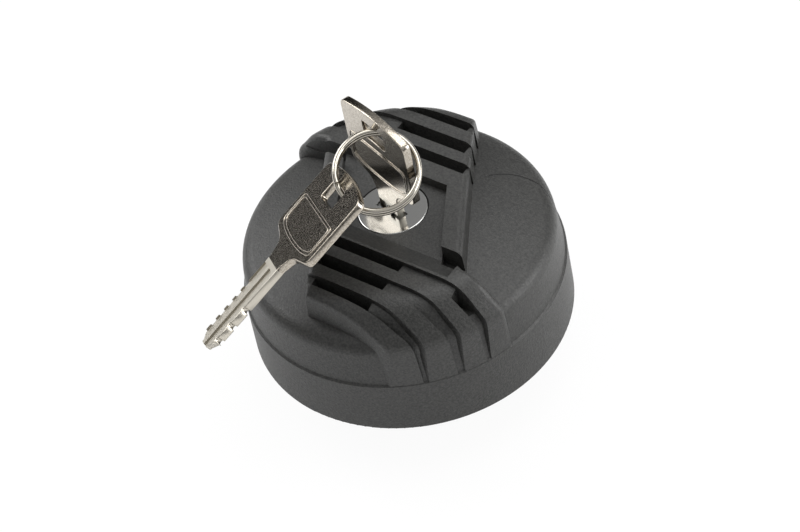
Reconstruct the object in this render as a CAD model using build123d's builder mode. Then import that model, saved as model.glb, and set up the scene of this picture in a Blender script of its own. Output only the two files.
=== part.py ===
"""Locking fuel filler cap with its two keys, in millimetres.

The axis of the cap is Z. The origin is on that axis, at the lower rim of the cover's skirt, and +Z
points out of the filler neck. The grip ribs run along X.
"""
import os
from math import atan, cos, degrees, radians, sin

from build123d import *

# ---- cover, outside --------------------------------------------------------------------------
skirt_r = 43.0            # lower rim of the skirt
skirt_draft = 0.25        # how much the skirt leans in up to the groove
skirt_h = 16.2            # height of the fine groove under the grip
groove_step = 0.55        # how far the wall above the groove stands back
shoulder_in = 2.1         # how far the shoulder stands in from the skirt
shoulder_r = skirt_r - shoulder_in
shoulder_z = 29.2
shoulder_fillet = 4.5
dome_rise = 7.0           # from the shoulder to the middle of the dome
top_z = 39.5              # tops of the ribs and strips
floor_z = 36.8            # floor around the lock face
grip_rim_in = 0.4
grip_rim_r = skirt_r - grip_rim_in     # where the ribs run down over the rim
grip_roll = 11.6
grip_flat_r = grip_rim_r - grip_roll   # the ribs stay level out to here
grip_roll_h = 12.0        # height over which they turn down
bar_angle = 30.0          # the strips' side faces look this way, from X
bar_half = 20.6           # half distance between the strips' outer faces
strip_inner = 14.1        # half distance between the strips' inner faces
wall_draft = 3.0
group_margin = 6.0
group_out = skirt_r - group_margin     # outer side face of each rib group
group_in = 9.9            # side face of the groups on the open side
top_round = 1.7           # rounded upper edges of the ribs and strips
recess_y = 11.1           # back wall of the recess round the lock
ramp_start = 9.8
ramp_end = 15.8
notch_in = 7.4            # gap between a strip's end and the next band
notch_floor_z = 33.5
slots_from_out = [(20.7, 17.4), (14.2, 10.5), (7.0, 4.0)]
slot_bands = [(group_out - a, group_out - b) for a, b in slots_from_out]   # the grooves between the ribs
slot_draft = 2.5
groove_skin = 1.3         # depth of the shallow part of each groove
pocket_floor_z = 31.2
pocket_end_x = 15.0       # the deep pockets stop here
rim_pocket_x = (30.5, 36.8)   # the innermost groove is deep again near the rim

# ---- cover, inside ---------------------------------------------------------------------------
skirt_wall = 3.0
ceiling_z = 27.5
ceiling_wall = 3.6        # at the shoulder
stop_ring_wall = 2.4
web_t = 1.6
web_count = 6
web_floor_z = 19.4
boss_wall = 3.4

# ---- plug, seal and retainer -----------------------------------------------------------------
plug_r = 24.0
plug_wall = 3.0
nose_r = 23.4             # plain end of the plug, below the lugs
nose_h = 9.0
nose_lead = 0.8           # bevel at its mouth
plug_bottom_z = -17.0
plug_floor_z = -1.0
plug_floor_t = 2.5
flange_r = 34.0
flange_z = 9.5
flange_t = 3.0
drive_ring_r = 25.0       # ring of notches above the flange
drive_ring_h = 5.0
notch_count = 12
lug_count = 2
lug_out = 3.0
lug_z = -7.0
lug_h = 4.0
lug_angle = 55.0
run_gap = 0.3             # free play between the cover and the plug
gasket_out_r = 30.0
gasket_t = 2.6
retainer_in_r = 31.0
retainer_t = 2.6
screw_inset = 2.8         # from the skirt's inner face
screw_pcd_r = skirt_r - skirt_wall - screw_inset
screw_count = 6
screw_boss_r = 2.5
screw_r = 1.25
screw_len = 9.0
screw_head_r = 2.35
screw_head_h = 1.4

# ---- breather valve in the plug --------------------------------------------------------------
valve_port_r = 4.0
valve_disc_r = 6.2
valve_disc_t = 1.6
valve_seal_t = 0.8
cage_r = 8.6
cage_wall = 1.2
cage_h = 11.5
cage_floor_t = 1.4
valve_spring_r = 4.4
valve_spring_wire = 0.35
valve_spring_turns = 4

# ---- lock ------------------------------------------------------------------------------------
lock_face_r = 9.2
lock_gap = 0.15
lock_face_t = 0.8
face_skirt_h = 1.4
rotor_head_h = 2.3
barrel_r = 6.95
running = 0.05            # radial clearance of turning and sliding fits
sleeve_r = 10.4
sleeve_flange_r = 18.0
sleeve_flange_t = 2.2
sleeve_bottom_z = 15.4
oring_r = 0.9
key_turn = 90.0           # the lock's turn
bolt_az = 15.0            # direction of the bolt, from X
bolt_w = 6.0
bolt_t = 2.2
bolt_z = 12.9
bolt_in_r = 7.4
bolt_out_r = 20.3
bolt_travel = 4.0
bolt_pin_r = 1.2
bolt_pin_at = 9.4
cam_gap = 0.5
cam_t = 2.4
cam_r = 16.2
cam_slot_play = 0.15
tail_r = 5.0
tail_flat = 3.7
circlip_t = 0.8
circlip_wall = 1.5
rail_w = 2.0
sleeve_screw_at = 14.3
wafer_count = 5
wafer_t = 1.0
wafer_pitch = 3.2
wafer_first_z = 18.4
wafer_w = 5.2
wafer_len = 12.6
wafer_spring_r = 0.55

# ---- keys and ring ---------------------------------------------------------------------------
key_az = -17.8            # the key's width direction when the lock is closed
key_end_z = 69.6          # top of the key that stands in the lock
key_t = 2.2
key_l = 55.8
bow_w = 26.4
bow_l = 21.4
bow_round = 2.2
blade_w = 8.0
tip_l = 3.0
hole_u = 2.7              # from the end of the bow to its hole
hole_l = 4.8
hole_w = 6.2
panel_u = 11.8
panel_l = 8.4
panel_w = 23.3
panel_line = 0.5
panel_depth = 0.25
key_groove_w = 1.3
key_groove_depth = 0.5
key_groove_gap = 2.6
cut_pitch = 3.2
cut_depths = [0.9, 0.5, 1.1, 0.7, 0.4]
key_play = 0.2            # round the blade in the lock
ring_wire_r = 0.75
ring_r = 10.4             # to the middle of the wire
ring_turns = 1.9
ring_centre = (5.113, -8.089, 59.575)
ring_normal = (0.3303, -0.3005, 0.8948)
ring_start = (-0.1045, -0.9538, -0.2817)   # side of the ring where the wire begins
spare_end = (1.425, -13.445, 60.534)
spare_along = (-0.3501, -0.7894, -0.5043)
spare_normal = (0.4985, 0.2988, -0.8138)

os.makedirs("parts", exist_ok=True)


def save(builder, label):
    """Name a finished piece and write its STEP file."""
    builder.part.label = label
    export_step(builder.part, f"parts/{label}.step")


def bar_x(distance, y):
    """X of a line at this distance from the axis, seen along the strips, where it crosses y."""
    return (distance - y * sin(radians(bar_angle))) / cos(radians(bar_angle))


def grip_outline(inset):
    """Corners of the ribs and strips seen from above, moved inwards by inset."""
    out = group_out - inset
    hollow = group_in + inset
    side = bar_half - inset
    far = skirt_r + 2
    half = [
        (bar_x(-side, -out), -out),
        (far, -out),
        (far, -hollow),
        (bar_x(side, -hollow), -hollow),
    ]
    return half + [(-x, -y) for x, y in half]


def grip_envelope(inset):
    """Section of the surface that the tops of the ribs follow over the rim."""
    rim = grip_rim_r - inset
    top = top_z - inset
    with BuildLine() as line:
        crown = Line((0, top + 0.1), (grip_flat_r, top))
        roll = Spline(
            crown @ 1,
            (grip_flat_r + 0.52 * (rim - grip_flat_r), top - 2.3),
            (rim - 2.3, top - 6.5),
            (rim, top - grip_roll_h),
            tangents=[(1, -0.02), (0, -1)],
        )
        Polyline(roll @ 1, (rim, skirt_h - inset), (0, skirt_h - inset), crown @ 0)
    return line.line


# ---- cover -----------------------------------------------------------------------------------
ring_wall_r = plug_r - plug_wall
stop_z = flange_z + flange_t + run_gap
stop_ring_r = flange_r - 0.8
boss_r = sleeve_r + running + boss_wall
sleeve_top_z = floor_z - lock_face_t - rotor_head_h + 0.6
skirt_in_r = skirt_r - skirt_wall

with BuildPart() as grip_core:
    with BuildSketch(Plane.XY.offset(skirt_h)):
        Polygon(*grip_outline(groove_skin), align=None)
    extrude(amount=top_z - skirt_h + 2)
    with BuildSketch(Plane.XZ):
        with BuildLine():
            add(grip_envelope(groove_skin))
        make_face()
    revolve(axis=Axis.Z, mode=Mode.INTERSECT)

with BuildPart() as grip_slots:
    for sign in (-1, 1):
        for inner, outer in slot_bands:
            with BuildSketch(Plane.XY.offset(top_z + 1)):
                with Locations((0, sign * (inner + outer) / 2)):
                    Rectangle(3 * skirt_r, outer - inner)
            extrude(amount=-(top_z + 1 - skirt_h), taper=slot_draft)
    add(grip_core.part, mode=Mode.SUBTRACT)

with BuildPart() as grip_pockets:
    for sign in (-1, 1):
        for number, (inner, outer) in enumerate(slot_bands):
            middle = sign * (inner + outer) / 2
            start = bar_x(-bar_half + 2 * groove_skin, -(inner + outer) / 2)
            spans = [(start, pocket_end_x)]
            if number == 0:
                spans.append(rim_pocket_x)
            for low, high in spans:
                with BuildSketch(Plane.XY.offset(top_z + 1)):
                    with Locations((-sign * (low + high) / 2, middle)):
                        Rectangle(high - low, outer - inner)
                extrude(amount=-(top_z + 1 - pocket_floor_z), taper=slot_draft)

with BuildPart() as grip:
    with BuildSketch(Plane.XY.offset(skirt_h)):
        Polygon(*grip_outline(0), align=None)
    extrude(amount=top_z - skirt_h + 2, taper=wall_draft)
    with BuildSketch(Plane.XZ):
        with BuildLine():
            add(grip_envelope(0))
        make_face()
    revolve(axis=Axis.Z, mode=Mode.INTERSECT)
    fillet(grip.edges().filter_by(lambda e: e.bounding_box().max.Z > floor_z - 4
                                  and e.bounding_box().min.Z > skirt_h + 6), top_round)
    add(grip_slots.part, mode=Mode.SUBTRACT)
    add(grip_pockets.part, mode=Mode.SUBTRACT)

with BuildPart() as cover:
    with BuildSketch(Plane.XZ):
        with BuildLine():
            upper_r = skirt_r - skirt_draft - groove_step
            outer = Polyline(
                (0, 0),
                (skirt_r, 0),
                (skirt_r - skirt_draft, skirt_h),
                (upper_r, skirt_h + groove_step),
                (shoulder_r, shoulder_z),
            )
            RadiusArc(outer @ 1, (0, shoulder_z + dome_rise), -6 * skirt_r)
            Line((0, shoulder_z + dome_rise), (0, 0))
        make_face()
    revolve(axis=Axis.Z)
    fillet(cover.edges().filter_by(GeomType.CIRCLE).sort_by(SortBy.RADIUS).sort_by(
        lambda e: abs(e.center().Z - shoulder_z))[0], shoulder_fillet)
    fillet(cover.edges().group_by(Axis.Z)[0], 0.6)
    add(grip.part)
    # recess round the lock: a flat floor, a wall at the back and a ramp at the open side
    with BuildSketch(Plane.XY.offset(floor_z)):
        Polygon(
            (bar_x(-strip_inner, recess_y), recess_y),
            (bar_x(-strip_inner, -ramp_start), -ramp_start),
            (bar_x(strip_inner, -ramp_start), -ramp_start),
            (bar_x(strip_inner, recess_y), recess_y),
            align=None,
        )
    extrude(amount=top_z, mode=Mode.SUBTRACT)
    with BuildSketch(Plane.YZ.offset(bar_x(-strip_inner, -ramp_start))):
        Polygon((-ramp_start, floor_z), (-ramp_end, top_z + 0.1), (-ramp_start, top_z + 0.1), align=None)
    extrude(amount=bar_x(strip_inner, -ramp_start) - bar_x(-strip_inner, -ramp_start) + 6, mode=Mode.SUBTRACT)
    # gap between the end of each strip and the next band
    for sign in (-1, 1):
        with BuildSketch(Plane.XY.offset(top_z + 1)):
            Polygon(
                (-sign * bar_x(strip_inner, -notch_in), sign * notch_in),
                (-sign * skirt_r, sign * notch_in),
                (-sign * skirt_r, sign * recess_y),
                (-sign * bar_x(strip_inner, -recess_y), sign * recess_y),
                align=None,
            )
        extrude(amount=-(top_z + 1 - notch_floor_z), mode=Mode.SUBTRACT)
    # inside of the shell
    with BuildSketch(Plane.XZ):
        with BuildLine():
            Polyline(
                (0, 0),
                (skirt_in_r, 0),
                (skirt_in_r, shoulder_z - 2 * ceiling_wall),
                (shoulder_r - ceiling_wall, ceiling_z),
                (0, ceiling_z),
                (0, 0),
            )
        make_face()
    revolve(axis=Axis.Z, mode=Mode.SUBTRACT)
    # ring that bears on the plug's flange, lock boss, webs and screw bosses
    with BuildSketch(Plane.XY.offset(stop_z)):
        Circle(stop_ring_r)
        Circle(stop_ring_r - stop_ring_wall, mode=Mode.SUBTRACT)
    extrude(amount=ceiling_z - stop_z + 0.5)
    with BuildSketch(Plane.XY.offset(sleeve_bottom_z + sleeve_flange_t)):
        Circle(boss_r)
        with PolarLocations(sleeve_screw_at, 3, start_angle=bolt_az + 60):
            Circle(screw_boss_r)
    extrude(amount=ceiling_z - sleeve_bottom_z - sleeve_flange_t + 0.5)
    with BuildSketch(Plane.XY.offset(web_floor_z)):
        with PolarLocations((boss_r + stop_ring_r) / 2 - 0.5, web_count, start_angle=bolt_az + 30):
            Rectangle(stop_ring_r - boss_r - 1, web_t)
    extrude(amount=ceiling_z - web_floor_z + 0.5)
    retainer_top_z = flange_z - run_gap
    with BuildSketch(Plane.XY.offset(retainer_top_z)):
        with PolarLocations(screw_pcd_r, screw_count):
            Circle(screw_boss_r)
            with Locations((screw_boss_r / 2 + 0.4, 0)):
                Rectangle(screw_boss_r + 0.4, screw_boss_r)
    extrude(amount=ceiling_z - retainer_top_z - 2)
    # lock bore, and pilot holes for the screws
    with BuildSketch(Plane.XY.offset(sleeve_bottom_z)):
        Circle(sleeve_r)
    extrude(amount=sleeve_top_z - sleeve_bottom_z, mode=Mode.SUBTRACT)
    with BuildSketch(Plane.XY.offset(sleeve_top_z)):
        Circle(lock_face_r + lock_gap)
    extrude(amount=top_z, mode=Mode.SUBTRACT)
    with BuildSketch(Plane.XY.offset(retainer_top_z)):
        with PolarLocations(screw_pcd_r, screw_count):
            Circle(screw_r)
    extrude(amount=screw_len, mode=Mode.SUBTRACT)
    with BuildSketch(Plane.XY.offset(sleeve_bottom_z)):
        with PolarLocations(sleeve_screw_at, 3, start_angle=bolt_az + 60):
            Circle(screw_r)
    extrude(amount=screw_len, mode=Mode.SUBTRACT)
save(cover, "cover")


# ---- plug ------------------------------------------------------------------------------------
flange_top_z = flange_z + flange_t
bolt_slot_w = bolt_w + 0.8
seat_boss_in_r = cage_r + running

with BuildPart() as plug_body:
    with BuildSketch(Plane.XZ):
        Polygon(
            (ring_wall_r, plug_bottom_z),
            (nose_r - nose_lead, plug_bottom_z),
            (nose_r, plug_bottom_z + nose_lead),
            (nose_r, plug_bottom_z + nose_h),
            (plug_r, plug_bottom_z + nose_h + plug_r - nose_r),
            (plug_r, flange_z),
            (flange_r, flange_z),
            (flange_r, flange_top_z),
            (drive_ring_r, flange_top_z),
            (drive_ring_r, flange_top_z + drive_ring_h),
            (ring_wall_r, flange_top_z + drive_ring_h),
            (ring_wall_r, plug_floor_z + plug_floor_t),
            (0, plug_floor_z + plug_floor_t),
            (0, plug_floor_z),
            (ring_wall_r, plug_floor_z),
            align=None,
        )
    revolve(axis=Axis.Z)
    # notches that the lock's bolt drops into
    with BuildSketch(Plane.XY.offset(flange_top_z)):
        with PolarLocations((ring_wall_r + drive_ring_r) / 2, notch_count, start_angle=bolt_az):
            Rectangle(drive_ring_r - ring_wall_r + 2, bolt_slot_w)
    extrude(amount=drive_ring_h + 1, mode=Mode.SUBTRACT)
    # lugs that lock under the filler neck's tabs, with a lead-in on their upper faces
    for turn in range(lug_count):
        start = turn * 360 / lug_count - lug_angle / 2
        with BuildSketch(Plane.XZ.rotated((0, 0, start))):
            Polygon(
                (plug_r - 1, lug_z),
                (plug_r + lug_out - 1, lug_z),
                (plug_r + lug_out, lug_z + 1),
                (plug_r + lug_out, lug_z + lug_h - 1.2),
                (plug_r - 1, lug_z + lug_h),
                align=None,
            )
        revolve(axis=Axis.Z, revolution_arc=lug_angle)
    # breather: port, and the collar that holds the cage
    with BuildSketch(Plane.XY.offset(plug_floor_z)):
        Circle(cage_r + running + 2)
        Circle(seat_boss_in_r, mode=Mode.SUBTRACT)
    extrude(amount=-5)
    with BuildSketch(Plane.XY.offset(plug_floor_z)):
        Circle(valve_port_r)
    extrude(amount=plug_floor_t, mode=Mode.SUBTRACT)
    # ribs between the collar and the wall
    with BuildSketch(Plane.XY.offset(plug_floor_z + 0.5)):
        with PolarLocations((seat_boss_in_r + 2 + plug_r) / 2 - 1, 6):
            Rectangle(ring_wall_r - seat_boss_in_r - 1, web_t)
    extrude(amount=-6)
save(plug_body, "plug_body")

with BuildPart() as gasket:
    with BuildSketch(Plane.XZ):
        Polygon(
            (plug_r, flange_z),
            (gasket_out_r, flange_z),
            (gasket_out_r, flange_z - 0.6 * gasket_t),
            (gasket_out_r - 1.6, flange_z - gasket_t),
            (gasket_out_r - 3.2, flange_z - 0.6 * gasket_t),
            (plug_r, flange_z - 0.6 * gasket_t),
            align=None,
        )
    revolve(axis=Axis.Z)
save(gasket, "gasket")

# ---- breather valve --------------------------------------------------------------------------
seal_top_z = plug_floor_z
disc_top_z = seal_top_z - valve_seal_t
disc_bottom_z = disc_top_z - valve_disc_t
cage_bottom_z = plug_floor_z - cage_h
spring_low_z = cage_bottom_z + cage_floor_t

with BuildPart() as valve_seal:
    with BuildSketch(Plane.XY.offset(disc_top_z)):
        Circle(valve_disc_r)
        Circle(valve_port_r - 0.6, mode=Mode.SUBTRACT)
    extrude(amount=valve_seal_t)
save(valve_seal, "valve_seal")

with BuildPart() as valve_disc:
    with BuildSketch(Plane.XZ):
        Polygon(
            (0, disc_top_z + valve_seal_t + 1.2),
            (valve_port_r - 1.6, disc_top_z + valve_seal_t + 1.2),
            (valve_port_r - 0.6, disc_top_z + valve_seal_t),
            (valve_port_r - 0.6, disc_top_z),
            (valve_disc_r, disc_top_z),
            (valve_disc_r, disc_bottom_z),
            (valve_spring_r - valve_spring_wire - 0.3, disc_bottom_z),
            (valve_spring_r - valve_spring_wire - 0.3, disc_bottom_z - 1.2),
            (0, disc_bottom_z - 1.2),
            align=None,
        )
    revolve(axis=Axis.Z)
save(valve_disc, "valve_disc")

with BuildPart() as valve_cage:
    with BuildSketch(Plane.XY.offset(cage_bottom_z)):
        Circle(cage_r)
    extrude(amount=cage_h)
    with BuildSketch(Plane.XY.offset(cage_bottom_z + cage_floor_t)):
        Circle(cage_r - cage_wall)
    extrude(amount=cage_h, mode=Mode.SUBTRACT)
    with BuildSketch(Plane.XY.offset(cage_bottom_z)):
        Circle(1.6)
        with PolarLocations(cage_r - cage_wall - 1.1, 6):
            Circle(0.9)
    extrude(amount=cage_floor_t, mode=Mode.SUBTRACT)
save(valve_cage, "valve_cage")

with BuildPart() as valve_spring:
    rise = disc_bottom_z - spring_low_z - 2 * valve_spring_wire
    with BuildLine():
        coil = Helix(rise / valve_spring_turns, rise, valve_spring_r,
                     center=(0, 0, spring_low_z + valve_spring_wire))
    with BuildSketch(Plane(origin=coil @ 0, z_dir=coil % 0)):
        RegularPolygon(valve_spring_wire, 6)
    sweep(path=coil)
save(valve_spring, "valve_spring")

# ---- retainer --------------------------------------------------------------------------------
with BuildPart() as retainer_ring:
    with BuildSketch(Plane.XY.offset(retainer_top_z - retainer_t)):
        Circle(skirt_in_r - run_gap)
        Circle(retainer_in_r, mode=Mode.SUBTRACT)
        with PolarLocations(screw_pcd_r, screw_count):
            Circle(screw_r + 0.15, mode=Mode.SUBTRACT)
    extrude(amount=retainer_t)
save(retainer_ring, "retainer_ring")

with BuildPart() as retainer_screws:
    with PolarLocations(screw_pcd_r, screw_count):
        with Locations((0, 0, retainer_top_z - retainer_t)):
            Cylinder(screw_head_r, screw_head_h, align=(Align.CENTER, Align.CENTER, Align.MAX))
            Cylinder(screw_r, retainer_t + screw_len - 1, align=(Align.CENTER, Align.CENTER, Align.MIN))
    with BuildSketch(Plane.XY.offset(retainer_top_z - retainer_t - screw_head_h)):
        with PolarLocations(screw_pcd_r, screw_count):
            Rectangle(2.6, 0.7)
            Rectangle(0.7, 2.6)
    extrude(amount=0.8, mode=Mode.SUBTRACT)
save(retainer_screws, "retainer_screws")

# ---- lock sleeve -----------------------------------------------------------------------------
bolt_axis = Plane.XY.rotated((0, 0, bolt_az))
rail_in = bolt_w / 2 + running
oring_z = sleeve_top_z - 4.0

with BuildPart() as lock_sleeve:
    with BuildSketch(Plane.XZ):
        Polygon(
            (barrel_r + running, sleeve_bottom_z),
            (sleeve_flange_r, sleeve_bottom_z),
            (sleeve_flange_r, sleeve_bottom_z + sleeve_flange_t),
            (sleeve_r, sleeve_bottom_z + sleeve_flange_t),
            (sleeve_r, sleeve_top_z),
            (barrel_r + running, sleeve_top_z),
            align=None,
        )
    revolve(axis=Axis.Z)
    with BuildSketch(Plane.XZ):
        with Locations((sleeve_r, oring_z)):
            Circle(oring_r)
    revolve(axis=Axis.Z, mode=Mode.SUBTRACT)
    # guide rails either side of the bolt
    with BuildSketch(bolt_axis.offset(bolt_z)):
        for side in (-1, 1):
            with Locations(((bolt_in_r + 2 + sleeve_flange_r - 0.6) / 2, side * (rail_in + rail_w / 2))):
                Rectangle(sleeve_flange_r - bolt_in_r - 2.6, rail_w)
    extrude(amount=sleeve_bottom_z - bolt_z)
    with BuildSketch(Plane.XY.offset(sleeve_bottom_z)):
        with PolarLocations(sleeve_screw_at, 3, start_angle=bolt_az + 60):
            Circle(screw_r + 0.15)
    extrude(amount=sleeve_flange_t, mode=Mode.SUBTRACT)
save(lock_sleeve, "lock_sleeve")

with BuildPart() as sleeve_oring:
    with BuildSketch(Plane.XZ):
        with Locations((sleeve_r - oring_r / 2, oring_z)):
            Circle(oring_r / 2 - 0.02)
    revolve(axis=Axis.Z)
save(sleeve_oring, "sleeve_oring")

with BuildPart() as sleeve_screws:
    with PolarLocations(sleeve_screw_at, 3, start_angle=bolt_az + 60):
        with Locations((0, 0, sleeve_bottom_z)):
            Cylinder(screw_head_r, screw_head_h, align=(Align.CENTER, Align.CENTER, Align.MAX))
            Cylinder(screw_r, screw_len - 1, align=(Align.CENTER, Align.CENTER, Align.MIN))
    with BuildSketch(Plane.XY.offset(sleeve_bottom_z - screw_head_h)):
        with PolarLocations(sleeve_screw_at, 3, start_angle=bolt_az + 60):
            Rectangle(2.6, 0.7)
            Rectangle(0.7, 2.6)
    extrude(amount=0.8, mode=Mode.SUBTRACT)
save(sleeve_screws, "sleeve_screws")

# ---- rotor, lock face and wafers -------------------------------------------------------------
key_plane = Plane.XY.rotated((0, 0, key_az))
cam_top_z = bolt_z - cam_gap
cam_bottom_z = cam_top_z - cam_t
tail_bottom_z = cam_bottom_z - circlip_t - 0.7
head_top_z = floor_z - lock_face_t
key_tip_z = key_end_z - key_l
keyway_w = blade_w + 2 * key_play
keyway_t = key_t + 2 * key_play
circlip_r = tail_r - 0.8

with BuildPart() as lock_rotor:
    with BuildSketch(Plane.XY.offset(cam_top_z + running)):
        Circle(barrel_r)
    extrude(amount=sleeve_top_z + 1 - cam_top_z)
    with BuildSketch(Plane.XY.offset(sleeve_top_z + running)):
        Circle(lock_face_r - 0.55)
    extrude(amount=head_top_z - sleeve_top_z - running)
    # tail with two flats for the cam, and the circlip's groove
    with BuildSketch(key_plane.offset(tail_bottom_z)):
        Circle(tail_r)
        Rectangle(4 * tail_r, 2 * tail_flat, mode=Mode.INTERSECT)
    extrude(amount=cam_top_z + running - tail_bottom_z)
    with BuildSketch(Plane.XY.offset(cam_bottom_z - circlip_t - 0.05)):
        Circle(2 * tail_r)
        Circle(circlip_r, mode=Mode.SUBTRACT)
    extrude(amount=circlip_t, mode=Mode.SUBTRACT)
    # keyway, and the cross slots of the wafers
    with BuildSketch(key_plane.offset(key_tip_z - 0.4)):
        Rectangle(keyway_w, keyway_t)
    extrude(amount=floor_z, mode=Mode.SUBTRACT)
    for number in range(wafer_count):
        with BuildSketch(key_plane.offset(wafer_first_z + number * wafer_pitch)):
            Rectangle(wafer_len + 2, wafer_w + 0.15)
            with Locations((0, wafer_w / 2 + wafer_spring_r)):
                Rectangle(3.4, 2 * wafer_spring_r + 0.3)
        extrude(amount=wafer_t + 0.15, mode=Mode.SUBTRACT)
save(lock_rotor, "lock_rotor")

with BuildPart() as lock_face:
    with BuildSketch(Plane.XY.offset(floor_z - face_skirt_h - lock_face_t)):
        Circle(lock_face_r)
    extrude(amount=face_skirt_h + lock_face_t)
    fillet(lock_face.edges().group_by(Axis.Z)[-1], 0.35)
    with BuildSketch(Plane.XY.offset(head_top_z)):
        Circle(lock_face_r - 0.5)
    extrude(amount=-face_skirt_h, mode=Mode.SUBTRACT)
    with BuildSketch(key_plane.offset(head_top_z)):
        Rectangle(keyway_w + 0.6, keyway_t + 0.4)
        with Locations((-keyway_w / 4, -keyway_t / 2)):
            Rectangle(keyway_w / 2, keyway_t / 2 + 0.6)
    extrude(amount=2, mode=Mode.SUBTRACT)
save(lock_face, "lock_face")

with BuildPart() as wafer_tumblers:
    for number in range(wafer_count):
        with BuildSketch(key_plane.offset(wafer_first_z + number * wafer_pitch + 0.07)):
            Rectangle(wafer_len, wafer_w)
            Rectangle(keyway_w, keyway_t, mode=Mode.SUBTRACT)
        extrude(amount=wafer_t)
save(wafer_tumblers, "wafer_tumblers")

with BuildPart() as wafer_springs:
    for number in range(wafer_count):
        with BuildSketch(key_plane.offset(wafer_first_z + number * wafer_pitch + 0.07)):
            with Locations((0, wafer_w / 2 + wafer_spring_r + 0.06)):
                for step in range(4):
                    with Locations((-1.35 + 0.9 * step, 0)):
                        Rectangle(0.62, 2 * wafer_spring_r)
                Rectangle(3.0, 0.35)
        extrude(amount=wafer_t)
save(wafer_springs, "wafer_springs")

# ---- cam, circlip and bolt -------------------------------------------------------------------
cam_lead = bolt_travel / key_turn          # millimetres of bolt travel for each degree
slot_half = bolt_pin_r + cam_slot_play
slot_radial = slot_half / cos(atan(degrees(cam_lead) / bolt_pin_at))


def spiral(shift):
    """Points of the cam slot's spiral, moved outwards by shift."""
    points = []
    for step in range(7):
        angle = key_turn * step / 6
        reach = bolt_pin_at + cam_lead * angle + shift
        points.append((reach * cos(radians(angle)), reach * sin(radians(angle))))
    return points


with BuildPart() as lock_cam:
    with BuildSketch(Plane.XY.offset(cam_bottom_z)):
        Circle(cam_r)
        with BuildSketch(mode=Mode.PRIVATE) as tail_hole:
            Circle(tail_r + running)
            Rectangle(4 * tail_r, 2 * (tail_flat + running), mode=Mode.INTERSECT)
        add(tail_hole.sketch.rotate(Axis.Z, key_az), mode=Mode.SUBTRACT)
    extrude(amount=cam_t)
    with BuildSketch(bolt_axis.offset(cam_bottom_z)):
        with BuildLine():
            inner = Spline(*spiral(-slot_radial))
            outer = Spline(*spiral(slot_radial))
            Line(inner @ 0, outer @ 0)
            Line(inner @ 1, outer @ 1)
        make_face()
        with Locations(spiral(0)[0], spiral(0)[-1]):
            Circle(slot_half)
    extrude(amount=cam_t, mode=Mode.SUBTRACT)
save(lock_cam, "lock_cam")

with BuildPart() as cam_circlip:
    with BuildSketch(key_plane.offset(cam_bottom_z - circlip_t)):
        Circle(tail_r + circlip_wall)
        Circle(circlip_r + running, mode=Mode.SUBTRACT)
        with Locations((0, -tail_r)):
            Rectangle(3.2, 2 * tail_r, mode=Mode.SUBTRACT)
    extrude(amount=circlip_t - 0.1)
save(cam_circlip, "cam_circlip")

with BuildPart() as lock_bolt:
    with BuildSketch(bolt_axis.offset(bolt_z)):
        with Locations(((bolt_in_r + bolt_out_r) / 2, 0)):
            Rectangle(bolt_out_r - bolt_in_r, bolt_w)
    extrude(amount=bolt_t)
    chamfer(lock_bolt.edges().filter_by(Axis.Z).sort_by(lambda e: e.center().length)[-2:], 1)
    with BuildSketch(bolt_axis.offset(bolt_z)):
        with Locations((bolt_pin_at, 0)):
            Circle(bolt_pin_r)
    extrude(amount=-(cam_gap + cam_t - 0.3))
save(lock_bolt, "lock_bolt")

# ---- keys and ring ---------------------------------------------------------------------------


def key_solid():
    """One key: x runs from the end of the bow to the tip of the blade, y across the bow."""
    groove_l = key_l - bow_l - 6
    with BuildPart() as blank:
        with BuildSketch():
            with Locations((bow_l / 2, 0)):
                RectangleRounded(bow_l, bow_w, bow_round)
            Polygon(
                (bow_l - 1, -blade_w / 2 - 1),
                (bow_l + 2.5, -blade_w / 2),
                (key_l - tip_l, -blade_w / 2),
                (key_l, -0.8),
                (key_l, 0.8),
                (key_l - tip_l, blade_w / 2),
                (bow_l + 2.5, blade_w / 2),
                (bow_l - 1, blade_w / 2 + 1),
                align=None,
            )
            with Locations((hole_u + hole_l / 2, 0)):
                RectangleRounded(hole_l, hole_w, 0.8, mode=Mode.SUBTRACT)
            for number, depth in enumerate(cut_depths):
                along = key_l - tip_l - 3 - number * cut_pitch
                for side in (-1, 1):
                    with Locations((along, side * (blade_w / 2 + 1.3 - depth))):
                        Circle(1.3, mode=Mode.SUBTRACT)
        extrude(amount=key_t / 2, both=True)
        for face in (-1, 1):
            with BuildSketch(Plane.XY.offset(face * key_t / 2)):
                with Locations((panel_u + panel_l / 2, 0)):
                    RectangleRounded(panel_l, panel_w, 1)
                    RectangleRounded(panel_l - 2 * panel_line, panel_w - 2 * panel_line, 0.6,
                                     mode=Mode.SUBTRACT)
            extrude(amount=-face * panel_depth, mode=Mode.SUBTRACT)
            with BuildSketch(Plane.XY.offset(face * key_t / 2)):
                with Locations((bow_l + 4 + groove_l / 2, face * key_groove_gap / 2)):
                    SlotOverall(groove_l, key_groove_w)
            extrude(amount=-face * key_groove_depth, mode=Mode.SUBTRACT)
    return blank.part


with BuildPart() as key:
    add(key_solid().moved(Plane(
        origin=(0, 0, key_end_z),
        x_dir=(0, 0, -1),
        z_dir=(-sin(radians(key_az)), cos(radians(key_az)), 0),
    ).location))
save(key, "key")

with BuildPart() as spare_key:
    add(key_solid().moved(Plane(
        origin=spare_end,
        x_dir=spare_along,
        z_dir=spare_normal,
    ).location))
save(spare_key, "spare_key")

ring_pitch = 2 * ring_wire_r + 0.06
ring_rise = ring_turns * ring_pitch
ring_plane = Plane(origin=ring_centre, x_dir=ring_start, z_dir=ring_normal)

with BuildPart(mode=Mode.PRIVATE) as ring_wire:
    with BuildLine():
        coil = Helix(ring_pitch, ring_rise, ring_r, center=(0, 0, -ring_rise / 2))
    with BuildSketch(Plane(origin=coil @ 0, z_dir=coil % 0)):
        Circle(ring_wire_r)
    sweep(path=coil)

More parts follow.
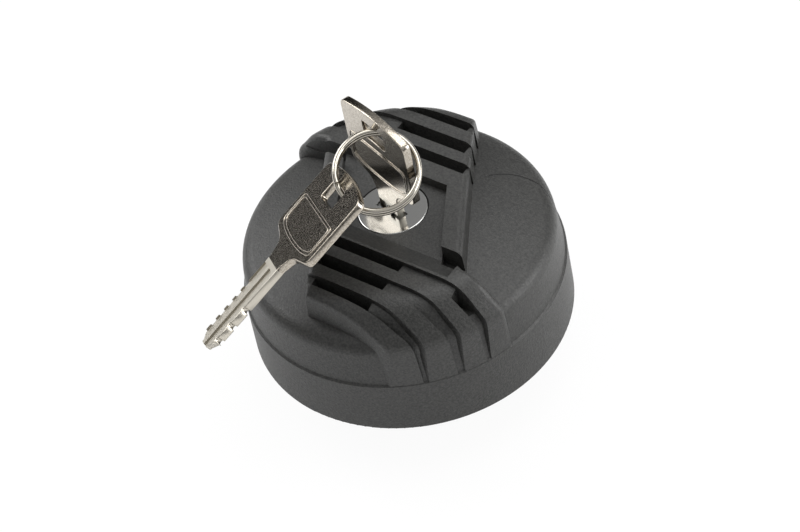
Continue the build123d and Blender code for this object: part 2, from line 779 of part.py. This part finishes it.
with BuildPart() as key_ring:
    add(ring_wire.part.moved(ring_plane.location))
save(key_ring, "key_ring")
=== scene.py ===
"""Locking fuel filler cap with its keys: finishes, floor, light and camera."""
import math

import bmesh
import bpy
from mathutils import Matrix, Vector


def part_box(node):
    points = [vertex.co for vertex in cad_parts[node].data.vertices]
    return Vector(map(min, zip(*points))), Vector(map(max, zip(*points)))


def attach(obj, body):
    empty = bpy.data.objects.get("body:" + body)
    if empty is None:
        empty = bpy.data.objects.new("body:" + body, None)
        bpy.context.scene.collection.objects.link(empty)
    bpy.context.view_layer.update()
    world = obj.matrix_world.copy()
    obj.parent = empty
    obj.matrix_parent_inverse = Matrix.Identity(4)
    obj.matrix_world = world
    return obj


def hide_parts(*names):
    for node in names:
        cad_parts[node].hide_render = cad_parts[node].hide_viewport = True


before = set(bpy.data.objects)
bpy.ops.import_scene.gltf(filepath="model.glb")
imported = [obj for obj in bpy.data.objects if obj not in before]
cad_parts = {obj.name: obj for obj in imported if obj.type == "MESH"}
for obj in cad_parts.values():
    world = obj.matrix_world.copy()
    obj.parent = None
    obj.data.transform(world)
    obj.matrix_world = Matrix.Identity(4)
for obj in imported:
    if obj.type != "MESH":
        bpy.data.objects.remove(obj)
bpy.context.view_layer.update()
scene = bpy.context.scene
MM = 0.001

# ---- Cover -----------------------------------------------------------------------------------
# One injection moulding in black glass-filled nylon. The tool is spark eroded, which leaves a fine
# even grain: it scatters the light from the sides of the ribs and leaves no mirror reflections.


def colour(hex_code):
    """sRGB hex code as linear RGBA."""
    parts = [int(hex_code[i:i + 2], 16) / 255 for i in (1, 3, 5)]
    return [p / 12.92 if p <= 0.04045 else ((p + 0.055) / 1.055) ** 2.4 for p in parts] + [1.0]


def node(tree, kind, links=None, props=None, **values):
    """Add a node, set its properties and inputs, and link its sockets. _1=2.0 sets input 1."""
    made = tree.nodes.new(kind)
    for name, value in (props or {}).items():
        setattr(made, name, value)
    for name, value in values.items():
        socket = int(name[1:]) if name[1:].isdigit() else name.replace("_", " ")
        made.inputs[socket].default_value = value
    for name, source in (links or {}).items():
        tree.links.new(source, made.inputs[name])
    return made


def material(name, base, roughness, metallic=0.0):
    """A new material with a Principled shader, and its tree, shader and position output."""
    made = bpy.data.materials.new(name)
    made.use_nodes = True
    tree = made.node_tree
    shader = tree.nodes["Principled BSDF"]
    shader.inputs["Base Color"].default_value = colour(base)
    shader.inputs["Roughness"].default_value = roughness
    shader.inputs["Metallic"].default_value = metallic
    place = node(tree, "ShaderNodeTexCoord").outputs["Object"]
    return made, tree, shader, place


def grain(tree, shader, place, size_mm, depth_mm, strength=1.0, detail=2.0):
    """Bump from a noise whose grains are size_mm across."""
    noise = node(tree, "ShaderNodeTexNoise", {"Vector": place},
                 Scale=1 / (size_mm * MM), Detail=detail)
    bump = node(tree, "ShaderNodeBump", {"Height": noise.outputs["Fac"]},
                Strength=strength, Distance=depth_mm * MM)
    tree.links.new(bump.outputs["Normal"], shader.inputs["Normal"])
    return noise, bump


def mix_colour(tree, shader, factor, low, high):
    """Base colour that follows a texture, between two hex colours."""
    ramp = node(tree, "ShaderNodeValToRGB", {"Fac": factor})
    ramp.color_ramp.elements[0].position = 0.35
    ramp.color_ramp.elements[0].color = colour(low)
    ramp.color_ramp.elements[1].position = 0.65
    ramp.color_ramp.elements[1].color = colour(high)
    tree.links.new(ramp.outputs["Color"], shader.inputs["Base Color"])
    return ramp


def roughen(tree, shader, factor, low, high):
    """Roughness that follows a texture, between low and high."""
    spread = node(tree, "ShaderNodeMapRange", {"Value": factor}, To_Min=low, To_Max=high)
    tree.links.new(spread.outputs["Result"], shader.inputs["Roughness"])


def dress(finish, *names):
    """Give CAD nodes their finish."""
    for name in names:
        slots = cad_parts[name].data.materials
        slots.clear()
        slots.append(finish)


nylon, tree, shader, place = material("black_nylon_spark_eroded", "#2a2a29", 0.5)
noise, bump = grain(tree, shader, place, 0.5, 0.1, 1.0, detail=3.0)
mottle = node(tree, "ShaderNodeTexNoise", {"Vector": place},
              Scale=1600.0, Detail=3.0, Roughness=0.7)
tint = mix_colour(tree, shader, mottle.outputs["Fac"], "#151514", "#31312f")
roughen(tree, shader, noise.outputs["Fac"], 0.38, 0.62)

# Dark crease on one shoulder, along an arc: a bump dents it and painted shade turns it near black.
# It is a hairline that fades out at both ends of the arc.
crease_shade_centre = Vector((22.7, 17.6, 0)) * MM
crease_shade_radius = 12.0 * MM
crease_depth = 0.25 * MM
crease_shade_core, crease_shade_edge = 0.05 * MM, 0.2 * MM
apart = node(tree, "ShaderNodeVectorMath", {0: place}, {"operation": "SUBTRACT"}, _1=crease_shade_centre)
flat = node(tree, "ShaderNodeVectorMath", {0: apart.outputs[0]},
            {"operation": "MULTIPLY"}, _1=(1, 1, 0))
reach = node(tree, "ShaderNodeVectorMath", {0: flat.outputs[0]}, {"operation": "LENGTH"})
off_arc = node(tree, "ShaderNodeMath", {0: reach.outputs["Value"]},
               {"operation": "SUBTRACT"}, _1=crease_shade_radius)
off_line = node(tree, "ShaderNodeMath", {0: off_arc.outputs[0]}, {"operation": "ABSOLUTE"})
on_line = node(tree, "ShaderNodeMapRange", {"Value": off_line.outputs[0]},
               From_Min=crease_shade_core, From_Max=crease_shade_edge, To_Min=1.0, To_Max=0.0)
beyond = node(tree, "ShaderNodeSeparateXYZ", {0: flat.outputs[0]})
start_fade = node(tree, "ShaderNodeMapRange", {"Value": beyond.outputs["Y"]},
                  From_Min=6.0 * MM, From_Max=7.0 * MM)
end_fade = node(tree, "ShaderNodeMapRange", {"Value": beyond.outputs["X"]},
                From_Min=5.0 * MM, From_Max=8.0 * MM, To_Min=1.0, To_Max=0.0)
stretch = node(tree, "ShaderNodeMath",
               {0: start_fade.outputs["Result"], 1: end_fade.outputs["Result"]},
               {"operation": "MULTIPLY"})
crease_with_painted_shade = node(tree, "ShaderNodeMath", {0: on_line.outputs["Result"], 1: stretch.outputs[0]},
            {"operation": "MULTIPLY"})
crease = node(tree, "ShaderNodeBump", {"Height": crease_with_painted_shade.outputs[0], "Normal": bump.outputs["Normal"]},
              {"invert": True}, Strength=1.0, Distance=crease_depth)
tree.links.new(crease.outputs["Normal"], shader.inputs["Normal"])
# Painted shade: the base colour goes near black along the crease.
shade = node(tree, "ShaderNodeMix", {0: crease_with_painted_shade.outputs[0], 6: tint.outputs["Color"]},
             {"data_type": "RGBA"}, _7=colour("#050505"))
tree.links.new(shade.outputs[2], shader.inputs["Base Color"])
dress(nylon, "cover")

# ---- Plug, valve and retainer ----------------------------------------------------------------
# Acetal mouldings, black and smoother than the cover, because the tool for them is only ground.
# The gasket, the seal of the valve and the O-ring of the sleeve are duller nitrile rubber.
acetal, tree, shader, place = material("black_acetal_moulded", "#1e1e1f", 0.38)
noise, _ = grain(tree, shader, place, 0.9, 0.01, 0.4)
mix_colour(tree, shader, noise.outputs["Fac"], "#1a1a1b", "#232324")
dress(acetal, "plug_body", "valve_cage", "valve_disc", "retainer_ring")

rubber, tree, shader, place = material("nitrile_rubber_moulded", "#151515", 0.75)
noise, _ = grain(tree, shader, place, 0.25, 0.03, 0.5)
mix_colour(tree, shader, noise.outputs["Fac"], "#121212", "#1b1b1a")
dress(rubber, "gasket", "valve_seal", "sleeve_oring")

# ---- Lock ------------------------------------------------------------------------------------
# Die-cast zinc sleeve and rotor, zinc-plated pressings, brass wafers, and a pressed face that is
# bright chrome plate.
zinc, tree, shader, place = material("die_cast_zinc", "#a9abac", 0.42, 1.0)
noise, _ = grain(tree, shader, place, 0.5, 0.02, 0.5)
roughen(tree, shader, noise.outputs["Fac"], 0.32, 0.5)
dress(zinc, "lock_sleeve", "lock_rotor")

plated, tree, shader, place = material("zinc_plated_steel", "#b9b8ae", 0.3, 1.0)
noise, _ = grain(tree, shader, place, 0.3, 0.01, 0.4)
mix_colour(tree, shader, noise.outputs["Fac"], "#b2b1a6", "#c2c1b8")
dress(plated, "retainer_screws", "sleeve_screws", "lock_cam", "lock_bolt", "cam_circlip")

wire, tree, shader, place = material("drawn_spring_steel", "#9d9c98", 0.28, 1.0)
grain(tree, shader, place, 0.2, 0.008, 0.4)
dress(wire, "valve_spring", "wafer_springs")

brass, tree, shader, place = material("stamped_brass", "#c3a35c", 0.3, 1.0)
grain(tree, shader, place, 0.3, 0.01, 0.4)
dress(brass, "wafer_tumblers")

chrome, tree, shader, place = material("bright_chrome_plate", "#a9a9a7", 0.14, 1.0)
noise, _ = grain(tree, shader, place, 1.6, 0.01, 0.25)
roughen(tree, shader, noise.outputs["Fac"], 0.1, 0.2)
dress(chrome, "lock_face")

# ---- Keys and split ring ---------------------------------------------------------------------
# Keys stamped from brass strip, tumbled and nickel plated: a barrel-shaped bow with a coined panel,
# and a blade with milled grooves and cuts along both edges. The ring is plated spring wire.
nickel, tree, shader, place = material("nickel_plated_brass", "#a39c90", 0.16, 1.0)
grain(tree, shader, place, 1.4, 0.006, 0.4)
specks = node(tree, "ShaderNodeTexNoise", {"Vector": place}, Scale=2600.0, Detail=2.0)
roughen(tree, shader, specks.outputs["Fac"], 0.08, 0.26)
mix_colour(tree, shader, specks.outputs["Fac"], "#8c857a", "#b5aea3")

milled, tree, shader, place = material("nickel_plated_milled", "#bbb6ab", 0.34, 1.0)
grain(tree, shader, place, 0.6, 0.01, 0.5)

# Sizes in mm, u along the key from the end of its bow and w across it.
key_t = 2.2
key_l = 55.8
bow_half = 13.2
bow_bulge = 2.0           # how far the end of the bow swells out in the middle
neck_u = 28.2
blade_half = 4.0
edge_round = 0.22
hole_near, hole_far, hole_half, hole_corner = 3.5, 8.9, 4.25, 0.8
panel_near, panel_far, panel_half, panel_swell = 11.4, 20.2, 11.5, 1.6
bead_radius = 0.17
bead_gap = 0.75           # the panel's rim is a double bead
milled_from = 29.0        # the blade is milled from here to the tip
groove_from = 30.5
groove_bands = [(-3.9, -1.2), (0.2, 2.2)]
groove_depth = 0.5


def bend(start, pull, end, steps=6):
    """Points of a curve from start to end that leans towards pull."""
    points = []
    for k in range(steps + 1):
        t = k / steps
        points.append(tuple((1 - t) ** 2 * a + 2 * t * (1 - t) * b + t * t * c
                            for a, b, c in zip(start, pull, end)))
    return points


def bites(edge, centres, radius, depth):
    """Round cuts in an edge of the blade, from the tip towards the bow."""
    half = math.acos((radius - depth) / radius)
    steps = 6
    points = []
    for centre in centres:
        for k in range(steps + 1):
            turn = half - k * half / (steps / 2)
            across = abs(edge) + radius - depth - radius * math.cos(turn)
            points.append((centre + radius * math.sin(turn), math.copysign(across, edge)))
    return points


def whole_mesh(piece):
    """The object's mesh with its modifiers applied, as a new mesh."""
    graph = bpy.context.evaluated_depsgraph_get()
    return bpy.data.meshes.new_from_object(piece.evaluated_get(graph))


def shape(name, loops, **settings):
    """Mesh from closed loops of points, filled or drawn as a bead."""
    curve = bpy.data.curves.new(name, "CURVE")
    for setting, value in settings.items():
        setattr(curve, setting, value)
    for points in loops:
        line = curve.splines.new("POLY")
        line.points.add(len(points) - 1)
        for vertex, (u, w) in zip(line.points, points):
            vertex.co = (u * MM, w * MM, 0, 1)
        line.use_cyclic_u = True
    drawn = bpy.data.objects.new(name, curve)
    scene.collection.objects.link(drawn)
    bpy.context.view_layer.update()
    mesh = whole_mesh(drawn)
    bpy.data.objects.remove(drawn)
    joined = bmesh.new()
    joined.from_mesh(mesh)
    bmesh.ops.remove_doubles(joined, verts=joined.verts, dist=1e-6)
    bmesh.ops.recalc_face_normals(joined, faces=joined.faces)
    joined.to_mesh(mesh)
    joined.free()
    return mesh


def bow_outline(side):
    """One side of the bow, from the neck to the middle of its end."""
    points = [(neck_u, blade_half), (27.0, 4.5)]
    points += bend((26.4, 4.7), (24.2, 5.2), (23.6, 7.4))
    points += bend((22.5, 11.4), (22.0, 13.1), (20.4, bow_half))
    points += bend((3.8, bow_half), (2.0, bow_half), (1.55, 11.6))
    points += [(bow_bulge * (w / bow_half) ** 2, w) for w in (10.0, 8.0, 6.0, 4.0, 2.0)]
    return [(u, side * w) for u, w in points]


def hole_outline():
    """Square hole with rounded corners."""
    near, far, half, corner = hole_near, hole_far, hole_half, hole_corner
    turn = half - corner - 0.05
    points = []
    for start, pull, end in (
            ((near, turn), (near, half), (near + corner, half)),
            ((far - corner, half), (far, half), (far, turn)),
            ((far, -turn), (far, -half), (far - corner, -half)),
            ((near + corner, -half), (near, -half), (near, -turn))):
        points += bend(start, pull, end, 3)
    return points


def panel_outline(inset):
    """Rim of the coined panel: straight towards the hole, bowed towards the neck."""
    near, half, far = panel_near + inset, panel_half - inset, panel_far - inset
    side = [(near, 0)]
    side += bend((near, half - 1.4), (near, half), (near + 1.4, half), 4)
    side += bend((far - 1.2, half), (far + 0.2, half), (far + 0.5, half - 1.6), 4)
    side += [(far + panel_swell - 1.1 * (w / half) ** 2, w) for w in (7.0, 4.0)]
    side += [(far + panel_swell, 0)]
    return side + [(u, -w) for u, w in reversed(side[1:-1])]


tip_half, tip_l = 1.5, 2.6
tip = [(key_l, -tip_half), (key_l, tip_half), (key_l - 1.6, 3.4), (key_l - tip_l, blade_half)]
scallop_at = [key_l - 5.2 - 3.2 * k for k in range(5)]
notch_at = [52.0, 47.1, 41.8]
scallops = bites(blade_half, scallop_at, radius=2.0, depth=0.3)
notches = bites(-blade_half, notch_at, radius=0.7, depth=0.55)
outline = tip + scallops + bow_outline(1) + [(0, 0)]
outline += list(reversed(notches + bow_outline(-1))) + [(key_l - tip_l, -3.7)]
blank = shape("key_blank", [outline, hole_outline()], dimensions="2D", fill_mode="BOTH",
              extrude=(key_t / 2 - edge_round) * MM, bevel_depth=edge_round * MM,
              bevel_resolution=1, offset=-edge_round * MM)
beads = [shape("panel_bead", [panel_outline(inset)], dimensions="3D",
               bevel_depth=bead_radius * MM, bevel_resolution=1) for inset in (0.0, bead_gap)]


def groove_cutter(face, low, high):
    """Box that mills one groove into a face of the blade."""
    length = 30.0
    bpy.ops.mesh.primitive_cube_add(size=1)
    cutter = bpy.context.object
    cutter.scale = (length * MM, (high - low) * MM, 2 * groove_depth * MM)
    cutter.location = ((groove_from + length / 2) * MM, face * (low + high) / 2 * MM,
                       face * key_t / 2 * MM)
    return cutter


def make_key(name, to_place, replaced, body):
    """A whole key in the place of one CAD key."""
    made = bpy.data.objects.new(name, blank.copy())
    scene.collection.objects.link(made)
    cutters = [groove_cutter(face, low, high) for face in (-1, 1) for low, high in groove_bands]
    for cutter in cutters:
        cut = made.modifiers.new("groove", "BOOLEAN")
        cut.object = cutter
        cut.operation = "DIFFERENCE"
        cut.solver = "EXACT"
    bpy.context.view_layer.update()
    mesh = whole_mesh(made)
    made.modifiers.clear()
    for cutter in cutters:
        bpy.data.objects.remove(cutter)

    whole = bmesh.new()
    whole.from_mesh(mesh)
    for bead in beads:
        for face in (-1, 1):
            lifted = bead.copy()
            lifted.transform(Matrix.Translation((0, 0, face * key_t / 2 * MM)))
            whole.from_mesh(lifted)
            bpy.data.meshes.remove(lifted)
    everything = whole.verts[:] + whole.edges[:] + whole.faces[:]
    bmesh.ops.bisect_plane(whole, geom=everything, plane_co=(milled_from * MM, 0, 0),
                           plane_no=(1, 0, 0))
    whole.to_mesh(mesh)
    whole.free()

    mesh.materials.clear()
    mesh.materials.append(nickel)
    mesh.materials.append(milled)
    for polygon in mesh.polygons:
        polygon.material_index = int(polygon.center.x > milled_from * MM)
    mesh.transform(to_place)
    made.data = mesh
    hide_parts(replaced)
    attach(made, body)


def key_place(end_mm, along, normal):
    """Matrix with x along the key from the end of its bow, and z out of its face."""
    x = Vector(along).normalized()
    z = Vector(normal).normalized()
    key_axes = Matrix((x, z.cross(x), z)).transposed().to_4x4()
    return Matrix.Translation(Vector(end_mm) * MM) @ key_axes


key_turn = math.radians(-17.8)
standing = key_place((0, 0, 69.6), (0, 0, -1), (-math.sin(key_turn), math.cos(key_turn), 0))
hanging = key_place((1.425, -13.445, 60.534), (-0.3501, -0.7894, -0.5043),
                    (0.4985, 0.2988, -0.8138))
make_key("key_in_lock", standing, "key", "key")
make_key("key_on_ring", hanging, "spare_key", "spare")
for mesh in [blank, *beads]:
    bpy.data.meshes.remove(mesh)

ring_finish, tree, shader, place = material("nickel_plated_wire", "#aca79d", 0.12, 1.0)
noise, _ = grain(tree, shader, place, 0.4, 0.006, 0.3)
roughen(tree, shader, noise.outputs["Fac"], 0.08, 0.2)
dress(ring_finish, "key_ring")

# ---- Floor, light and camera -----------------------------------------------------------------
# White table of a light tent. Seen by the camera it is lifted nearly to white, so that only a
# trace of the shadow stays. Three softboxes light the cap, the largest from overhead.
table_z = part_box("plug_body")[0][2]
bpy.ops.mesh.primitive_plane_add(size=6, location=(0, 0, table_z))
table = bpy.context.object
table.name = "table_top"
paper, tree, shader, _ = material("white_paper_sheet", "#f4f4f4", 0.9)
lift = node(tree, "ShaderNodeEmission", Strength=1.0)
is_camera = node(tree, "ShaderNodeLightPath").outputs["Is Camera Ray"]
lifted_share = 0.94
share = node(tree, "ShaderNodeMath", {0: is_camera}, {"operation": "MULTIPLY"}, _1=lifted_share)
blend = node(tree, "ShaderNodeMixShader",
             {0: share.outputs[0], 1: shader.outputs[0], 2: lift.outputs[0]})
tree.links.new(blend.outputs[0], tree.nodes["Material Output"].inputs["Surface"])
table.data.materials.append(paper)

scene.view_settings.view_transform = "Standard"
world = bpy.data.worlds.new("light_tent")
world.use_nodes = True
scene.world = world
tree = world.node_tree
tent = tree.nodes["Background"]
direction = node(tree, "ShaderNodeTexCoord").outputs["Generated"]
height = node(tree, "ShaderNodeSeparateXYZ", {0: direction}).outputs["Z"]
ramp = node(tree, "ShaderNodeValToRGB", {"Fac": height})
low_grey, high_grey = 0.1, 0.75
ramp.color_ramp.elements[0].position = 0.0
ramp.color_ramp.elements[0].color = (low_grey, low_grey, low_grey, 1)
ramp.color_ramp.elements[1].position = 0.7
ramp.color_ramp.elements[1].color = (high_grey, high_grey, high_grey, 1)
# The tent is open on one side, and the dark room there is what the lying key reflects.
open_towards = (-0.974, 0.207, 0.088)
open_side = node(tree, "ShaderNodeVectorMath", {0: direction}, {"operation": "DOT_PRODUCT"},
                 _1=open_towards)
gap = node(tree, "ShaderNodeMapRange", {"Value": open_side.outputs["Value"]},
           From_Min=0.5, From_Max=0.85, To_Min=1.0, To_Max=0.03)
tree.links.new(gap.outputs["Result"], tent.inputs["Strength"])
tree.links.new(ramp.outputs["Color"], tent.inputs["Color"])
white = node(tree, "ShaderNodeBackground", Strength=1.0)
path = node(tree, "ShaderNodeLightPath")
mixed = node(tree, "ShaderNodeMixShader",
             {0: path.outputs["Is Camera Ray"], 1: tent.outputs[0], 2: white.outputs[0]})
tree.links.new(mixed.outputs[0], tree.nodes["World Output"].inputs["Surface"])


def softbox(name, place_m, size_m, watts):
    """Area lamp that faces the cap."""
    lamp = bpy.data.lights.new(name, "AREA")
    lamp.shape = "RECTANGLE"
    lamp.size, lamp.size_y = size_m
    lamp.energy = watts
    made = bpy.data.objects.new(name, lamp)
    scene.collection.objects.link(made)
    made.location = place_m
    cap_centre = Vector((0, 0, 0.02))
    towards = cap_centre - Vector(place_m)
    made.rotation_euler = towards.to_track_quat("-Z", "Y").to_euler()


softbox("overhead", (0.1, 0.25, 0.7), (0.6, 0.5), 3.0)
softbox("left", (-0.6, 0.0, 0.45), (0.5, 0.5), 4)
softbox("right", (0.6, 0.3, 0.22), (0.4, 0.4), 3.4)

camera_data = bpy.data.cameras.new("camera")
camera_data.lens = 117.0
camera_data.sensor_width = 36.0
camera_data.clip_start = 0.01
camera = bpy.data.objects.new("camera", camera_data)
scene.collection.objects.link(camera)
camera_place = Vector((0.32640, -0.34353, 0.50485))
camera_right = Vector((0.8125, 0.5637, -0.1489))
camera_back = Vector((0.4806, -0.5029, 0.7184))
camera_up = camera_back.cross(camera_right).normalized()
axes = Matrix((camera_right.normalized(), camera_up, camera_back)).transposed()
camera.matrix_world = Matrix.Translation(camera_place) @ axes.to_4x4()
scene.camera = camera
